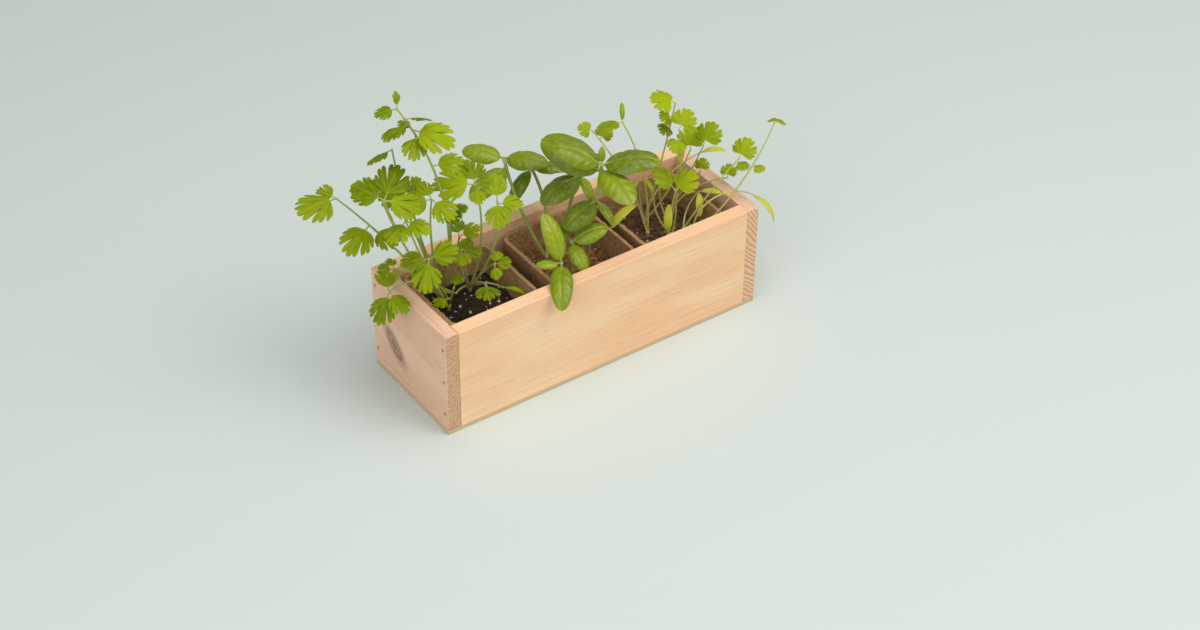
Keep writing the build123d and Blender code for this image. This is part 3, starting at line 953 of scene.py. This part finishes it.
def makeStalk(arc, herb, joints):
    form = stalkForm
    centre, n, r0, angle = arc
    bm = bmesh.new()
    way = n.cross(r0).normalized()
    seat = Matrix.Translation(centre + r0) @ way.to_track_quat("Z", "Y").to_matrix().to_4x4()
    ring = bmesh.ops.create_circle(bm, segments=herb["sides"], radius=herb["stalk"], matrix=seat)
    edges = list({e for v in ring["verts"] for e in v.link_edges})
    span = r0.length * angle
    bmesh.ops.spin(
        bm,
        geom=ring["verts"] + edges,
        cent=centre,
        axis=n,
        dvec=(0, 0, 0),
        angle=angle,
        steps=max(form["fewestSteps"], int(span / form["step"])),
    )
    for vert in bm.verts:
        arm = vert.co - centre
        arm -= n * n.dot(arm)
        share = math.atan2(n.dot(r0.cross(arm)), r0.dot(arm)) / angle
        middle = arcPoint(arc, share)
        width = herb["thick"] + (herb["thin"] - herb["thick"]) * share
        for joint in joints:
            away = (share - joint) * span / (form["swellingReach"] * herb["stalk"])
            width *= 1 + form["swelling"] * math.exp(-(away**2))
        width *= 1 + form["uneven"] * noise.noise(vert.co * form["unevenPitch"])
        vert.co = middle + (vert.co - middle) * width
    closeHoles(bm)
    return bm


def makeKnuckle(place, radius, flat=1.0):
    form = stalkForm
    bm = bmesh.new()
    bmesh.ops.create_icosphere(bm, subdivisions=2, radius=radius * form["knuckle"])
    for vert in bm.verts:
        vert.co.z *= flat
        vert.co *= 1 + form["knuckleUneven"] * noise.noise(vert.co * form["knucklePitch"] + place)
        vert.co += place
    return bm


def makeRoot(foot, crown):
    form = stalkForm
    deep = form["rootDepth"]
    bm = bmesh.new()
    bmesh.ops.create_cone(
        bm,
        cap_ends=True,
        segments=form["rootSides"],
        radius1=form["rootEnds"][0],
        radius2=form["rootEnds"][1],
        depth=deep + crown,
        matrix=Matrix.Translation(foot - Vector((0, 0, deep / 2 - crown / 2))),
    )
    return bm


# Lengths in millimetres; spread, side and droop place the outer two of a leaf of three
herbs = {
    "parsley": {
        "stalk": 0.75, "node": 1.0, "crown": 2.6, "sides": 10, "thick": 1.45, "thin": 0.72,
        "spread": 80, "side": 0.9, "droop": 12, "seedAge": (0.05, 0.3), "look": parsleyLook,
    },
    "basil": {
        "stalk": 1.25, "node": 1.7, "crown": 2.2, "sides": 12, "thick": 1.15, "thin": 0.8,
        "spread": 180, "side": 1, "droop": 0, "seedAge": (0.0, 0.1), "look": basilLook,
    },
    "cilantro": {
        "stalk": 0.55, "node": 0.85, "crown": 2.0, "sides": 8, "thick": 1.5, "thin": 0.8,
        "spread": 95, "side": 0.9, "droop": 12, "seedAge": (0.45, 0.95), "look": cilantroLook,
    },
}
for herbName, herb in herbs.items():
    herb["Leaves"] = leafMaterial(herbName + "Leaf", herb["look"])
    herb["Stalks"] = stalkMaterial(herbName + "Stalk", herb["look"])
# Low seed leaves fade to yellow, and all other leaves stay fresh
leafSetting = {"gap": 0.3, "stem": 0.7, "freshAge": (0, 0.12), "fadesBelow": 60}


def turned(degrees, axis):
    return Matrix.Rotation(math.radians(degrees), 4, axis)


def makeSeedling(herbName, number, plant):
    form = stalkForm
    herb = herbs[herbName]
    rng = random.Random(herbName + str(number))
    middle = Vector((pots[herbName], 0, soilTop))
    foot = Vector((pots[herbName] + plant["root"][0], plant["root"][1], soilTop))
    crown = foot + Vector((0, 0, herb["crown"] + form["crownLift"]))
    reach = herb["node"] + leafSetting["gap"]
    stemRadius = herb["stalk"] * leafSetting["stem"]
    stalks, leaves = bmesh.new(), bmesh.new()
    addInto(stalks, makeRoot(foot, herb["crown"]))
    addInto(stalks, makeKnuckle(crown, herb["crown"], form["crownFlat"]))
    for index, stalk in enumerate(plant["stalks"]):
        level = index / len(plant["stalks"]) - form["firstStart"]
        start = crown + Vector((0, 0, herb["crown"] * level))
        tip = middle + Vector(stalk["tip"])
        arc = arcThrough(start, (start + tip) / 2 + Vector(stalk["bow"]), tip)
        joints = sorted({leaf[1] for leaf in stalk["leaves"]})
        addInto(stalks, makeStalk(arc, herb, joints))
        addInto(stalks, makeKnuckle(arcPoint(arc, 1.0), herb["node"]))
        for kind, at, heading, pitch, roll, length, *more in stalk["leaves"]:
            place = arcPoint(arc, at)
            hub = Matrix.Translation(place) @ turned(heading, "Z")
            hub = hub @ turned(-pitch, "Y") @ turned(roll, "X")
            fading = kind == "seed" and place.z < soilTop + leafSetting["fadesBelow"]
            ages = herb["seedAge"] if fading else leafSetting["freshAge"]
            blooms = [(0, 0, length)]
            if more:
                outer = length * herb["side"]
                blooms += [(side * herb["spread"], herb["droop"], outer) for side in (-1, 1)]
            for turn, droop, size in blooms:
                age = rng.uniform(*ages)
                marks = (rng.random(), age)
                blade = makeBlade(kind, size, reach, stemRadius, marks, rng)
                seat = hub @ turned(turn, "Z") @ turned(droop, "Y")
                seat = seat @ Matrix.Translation((reach, 0, 0)) @ Matrix.Scale(size, 4)
                bmesh.ops.transform(blade, matrix=seat, verts=blade.verts)
                addInto(leaves, blade)
    for kind, bm, slotEnd in (("Stalks", stalks, "_stalk"), ("Leaves", leaves, "_leaf")):
        bmesh.ops.transform(bm, matrix=Matrix.Scale(mm, 4), verts=bm.verts)
        name = herbName + kind + str(number)
        slotName = herbName + slotEnd
        piece = finishPiece(bm, name, herb[kind], herbName + "_pot", sharp=60)
        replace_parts(piece, f"{herbName}_{number}_{kind.lower()}")


def stem(tip, bow, *leaves):
    return {"tip": tip, "bow": bow, "leaves": leaves}


# Tips are in millimetres from the middle of the pot at the level of the soil. A leaf gives its
# blade, place on the stalk, heading, pitch, roll and length, and a last 3 for a leaf of three.
parsleyPlants = [
    {"root": (9, 15), "stalks": [
        stem((9, 5, 93), (5, -3, 0), ("parsley", 1, 145, 0, -25, 27), ("parsley", 1, 70, 10, 0, 23),
             ("parsley", 1, -30, 20, 30, 10), ("parsley", 0.97, -115, -15, 0, 13)),
        stem((16, -10, 86), (6, -4, 0), ("parsley", 1, -120, -25, 0, 20),
             ("parsley", 0.97, -35, 0, 20, 16), ("parsley", 1, 60, 40, 0, 17)),
        stem((-4, 3, 47), (-3, -3, 4), ("parsley", 1, -120, -10, 0, 14, 3)),
        stem((13, -10, 36), (3, 0, 4), ("parsley", 1, -45, 15, 30, 11, 3)),
        stem((3, -14, 26), (0, -3, 5), ("parsley", 1, -115, 5, 0, 19)),
        stem((5, 20, 44), (-3, 2, 0), ("parsley", 1, -20, 20, 30, 14, 3)),
        stem((-6, 9, 8), (0, 0, 2), ("seed", 1, 155, 5, 0, 24)),
        stem((22, -6, 10), (2, 0, 2), ("seed", 1, -60, 0, 0, 15)),
    ]},
    {"root": (-14, 6), "stalks": [
        stem((-77, 35, 99), (-4, 2, 12), ("parsley", 1, 185, 0, -12, 29),
             ("parsley", 1, 115, 5, -30, 14),
             ("parsley", 0.74, -156, -18, -10, 26), ("parsley", 0.7, -75, -8, 20, 20)),
        stem((-59, 5, 108), (-6, 0, 4), ("parsley", 1, 35, 25, 15, 26, 3)),
        stem((-51, 24, 96), (-5, 2, 4), ("parsley", 1, 112, 5, -30, 21)),
        stem((-47, 0, 90), (-4, -3, 4), ("parsley", 1, -150, -15, 0, 20),
             ("parsley", 1, -65, -12, 10, 18)),
        stem((-36, -8, 60), (-4, -3, 4), ("parsley", 1, -130, -30, 0, 23),
             ("parsley", 1, 165, 0, -20, 18), ("parsley", 1, -30, 20, 30, 20)),
        stem((-59, 5, 35), (-2, 0, 16), ("parsley", 1, 80, 25, 20, 16),
             ("parsley", 1, -150, -45, 0, 22), ("parsley", 1, -80, -30, 0, 18)),
        stem((-46, 20, 39), (-2, 2, 10), ("parsley", 1, 160, 10, -20, 10, 3)),
        stem((-20, -4, 18), (0, -2, 3), ("parsley", 1, -165, 5, -10, 12)),
        stem((-13, 0, 21), (0, -1, 1), ("parsley", 1, 35, 20, 0, 11)),
    ]},
    {"root": (-8, 22), "stalks": [
        stem((-38, 20, 161), (13, -8, 0), ("parsley", 1, 165, -10, -10, 14),
             ("parsley", 1, 60, 60, 60, 10),
             ("parsley", 0.94, -35, 0, -30, 16), ("parsley", 0.91, 188, -8, 20, 20),
             ("parsley", 0.88, -55, -8, 15, 28),
             ("parsley", 0.855, -125, -20, 0, 19), ("parsley", 0.88, 115, 20, 0, 10),
             ("parsley", 0.68, -25, 8, 15, 20)),
        stem((-23, 7, 93), (-3, 2, 0), ("parsley", 1, 165, 0, -35, 19),
             ("parsley", 1, -75, -20, 20, 20), ("parsley", 1, 88, 20, 0, 14)),
        stem((-5, 15, 72), (3, 0, 0), ("parsley", 1, -105, 0, 10, 14),
             ("parsley", 1, -10, -5, 10, 12)),
        stem((-26, 28, 82), (-1, 5, 0), ("parsley", 1, 140, 5, -40, 21),
             ("parsley", 1, 45, 20, 10, 17)),
        stem((-40, 25, 128), (-5, -1, 0), ("parsley", 1, 182, -14, 30, 18)),
    ]},
]

basilPlants = [
    {"root": (15, 0), "stalks": [
        stem((12, -20, 90), (3, 3, 0), ("basil", 1, 140, 20, -15, 34),
             ("basil", 1, -40, 10, 12, 37),
             ("basil", 0.95, -92, -10, 5, 36), ("basil", 0.91, 124, 21, -30, 43),
             ("narrow", 1, 50, 70, 0, 11),
             ("basil", 0.58, -168, -15, -15, 30), ("narrow", 0.58, -75, -42, 0, 18)),
    ]},
    {"root": (4, 10), "stalks": [
        stem((15, 8, 65), (-2, 3, 0), ("basil", 1, 185, -15, -10, 33), ("basil", 1, 140, 35, 0, 26),
             ("basil", 1, 20, 15, 0, 20), ("narrow", 1, -95, -40, 0, 17)),
    ]},
    {"root": (-9, 14), "stalks": [
        stem((-16, 55, 64), (-6, 0, 8), ("basil", 1, -54, 4, 15, 30), ("basil", 1, 135, 5, -20, 27),
             ("basil", 0.92, -166, -18, 0, 34)),
        stem((0, 45, 55), (7, 4, 4), ("narrow", 1, -165, -42, 0, 27), ("basil", 1, -38, 2, 0, 24)),
    ]},
    {"root": (-16, -12), "stalks": [
        stem((-27, -30, 32), (-2, 0, 4), ("narrow", 1, 97, 58, -8, 34),
             ("narrow", 1, -124, -20, 0, 35),
             ("basil", 1, 152, -2, -10, 15)),
    ]},
    {"root": (-3, -8), "stalks": [
        stem((-9, -15, 33), (0, 2, 2), ("basil", 1, -15, 14, 20, 25), ("basil", 1, -95, -30, 0, 21),
             ("narrow", 1, 120, 50, 0, 14)),
    ]},
]

cilantroPlants = [
    {"root": (-4, 10), "stalks": [
        stem((16, 5, 96), (3, 2, 0), ("fan", 1, 140, 10, -10, 17), ("fan", 0.88, 175, 10, -35, 10),
             ("fan", 0.8, -165, 0, -25, 10)),
        stem((-24, 45, 66), (-2, 0, 12), ("fan", 1, 140, 15, -30, 10),
             ("fan", 0.9, 20, 30, 30, 11)),
        stem((21, 4, 42), (3, -2, 2), ("seed", 1, 45, 55, 0, 15)),
        stem((44, 11, 41), (0, 5, 6), ("seed", 1, -40, 10, 10, 17)),
    ]},
    {"root": (8, -3), "stalks": [
        stem((9, -9, 85), (4, -1, 0), ("fan", 1, 20, 35, 20, 15), ("fan", 0.9, -150, -20, -20, 12)),
        stem((25, -2, 58), (1, 4, 0), ("fan", 1, 55, 48, 0, 16)),
        stem((4, 1, 46), (-3, 3, 0), ("fan", 1, 145, 20, 0, 9)),
    ]},
    {"root": (-10, -2), "stalks": [
        stem((-21, 15, 89), (6, 0, 4), ("cilantro", 1, 165, -5, 10, 16),
             ("seed", 1, 60, 60, 0, 12)),
        stem((-14, 5, 24), (0, 2, 3), ("seed", 1, 187, -20, 0, 25)),
        stem((-8, 11, 38), (0, 4, 2), ("seed", 1, 182, -48, 0, 13)),
    ]},
    {"root": (16, 8), "stalks": [
        stem((27, -14, 68), (4, 2, 2), ("fan", 1, 25, 40, 0, 17)),
        stem((35, -2, 36), (2, 2, 3), ("fan", 1, 40, 40, 0, 9)),
        stem((49, -14, 32), (2, 2, 6), ("fan", 1, 40, 35, 0, 10)),
    ]},
    {"root": (14, -12), "stalks": [
        stem((54, -20, 50), (0, -2, 6), ("fan", 1, 15, 40, 15, 15), ("fan", 0.92, -50, -5, 0, 10)),
        stem((31, -6, 23), (2, 5, 1), ("seed", 1, -124, -46, 0, 17), ("seed", 1, -48, 4, 20, 15)),
    ]},
    {"root": (15, -22), "stalks": [
        stem((70, -36, 82), (8, -5, 5), ("fan", 1, 30, -20, 0, 11), ("fan", 0.64, -40, 0, 0, 9)),
        stem((55, -36, 28), (0, 0, 18), ("seed", 1, -40, -56, 0, 26)),
    ]},
    {"root": (2, -14), "stalks": [
        stem((0, -18, 44), (4, 2, 0), ("cilantro", 1, 118, 38, 0, 19),
             ("cilantro", 0.94, -8, 34, 15, 19)),
        stem((-4, -17, 7), (0, -1, 1), ("seed", 1, 50, 60, 0, 20)),
        stem((-3, 1, 30), (-3, 3, 0), ("seed", 1, 100, 40, 0, 12)),
    ]},
]

allPlants = {"parsley": parsleyPlants, "basil": basilPlants, "cilantro": cilantroPlants}
for herbName, plants in allPlants.items():
    for number, plant in enumerate(plants, 1):
        makeSeedling(herbName, number, plant)
    print(herbName, "grown")


# Camera at the photograph's viewing angle
view = {
    "place": (-0.75553, -1.08450, 1.05677),
    "right": (0.81561745, -0.57849516, 0.01056024),
    "down": (-0.35150942, -0.50992356, -0.78512362),
    "ahead": (0.45957513, 0.6366485, -0.61924905),
    "lens": 72.68,
    "sensor": 36,
    "farthest": 50,
}
camera = bpy.data.objects.new("camera", bpy.data.cameras.new("camera"))
bpy.context.scene.collection.objects.link(camera)
axes = Matrix((view["right"], [-d for d in view["down"]], [-a for a in view["ahead"]])).transposed()
camera.matrix_world = Matrix.Translation(view["place"]) @ axes.to_4x4()
camera.data.sensor_fit = "HORIZONTAL"
camera.data.sensor_width = view["sensor"]
camera.data.lens = view["lens"]
camera.data.clip_end = view["farthest"]
bpy.context.scene.camera = camera

# Pale floor and plain soft light
studio = {
    "floor": srgb(209, 218, 213),
    "floorSize": 6.0,
    "haze": srgb(203, 213, 207),
    "hazeGrain": ((3.0, 3.0, 3.0), 2.0),
    "hazeShare": 0.15,
    "world": srgb(232, 238, 236),
    "worldStrength": 0.4,
    "aim": (0, 0, 0.08),
    "lamps": {
        "key": {"place": (0.9, -1.3, 1.7), "size": 1.7, "power": 18, "tone": (1.0, 0.97, 0.93)},
        "fill": {"place": (-1.6, -0.8, 1.2), "size": 2.0, "power": 15.5, "tone": (0.95, 0.98, 1.0)},
        "top": {"place": (0.2, -0.35, 1.8), "size": 2.0, "power": 16, "tone": (1.0, 0.99, 0.97)},
    },
}
floorMesh = bmesh.new()
bmesh.ops.create_grid(floorMesh, x_segments=2, y_segments=2, size=studio["floorSize"])
mesh = bpy.data.meshes.new("floor")
floorMesh.to_mesh(mesh)
floorMesh.free()
floor = bpy.data.objects.new("floor", mesh)
bpy.context.scene.collection.objects.link(floor)
floorFinish, floorWire = newMaterial("paleFloor", 0.7)
haze = floorWire.node("ShaderNodeTexCoord", out="Object")
haze = grainNoise(floorWire, haze, *studio["hazeGrain"]) * studio["hazeShare"]
plug(floorFinish, Base_Color=haze.mix(studio["floor"], studio["haze"]))
mesh.materials.append(floorFinish)

world = bpy.data.worlds.new("studio")
bpy.context.scene.world = world
world.use_nodes = True
backdrop = world.node_tree.nodes["Background"]
backdrop.inputs["Color"].default_value = studio["world"]
backdrop.inputs["Strength"].default_value = studio["worldStrength"]
for name, lamp in studio["lamps"].items():
    light = bpy.data.lights.new(name, "AREA")
    light.shape = "DISK"
    light.size = lamp["size"]
    light.energy = lamp["power"]
    light.color = lamp["tone"]
    source = bpy.data.objects.new(name, light)
    bpy.context.scene.collection.objects.link(source)
    source.location = lamp["place"]
    aim = Vector(studio["aim"]) - Vector(lamp["place"])
    source.rotation_euler = aim.to_track_quat("-Z", "Y").to_euler()
bpy.context.scene.view_settings.view_transform = "Standard"
print("studio ready")
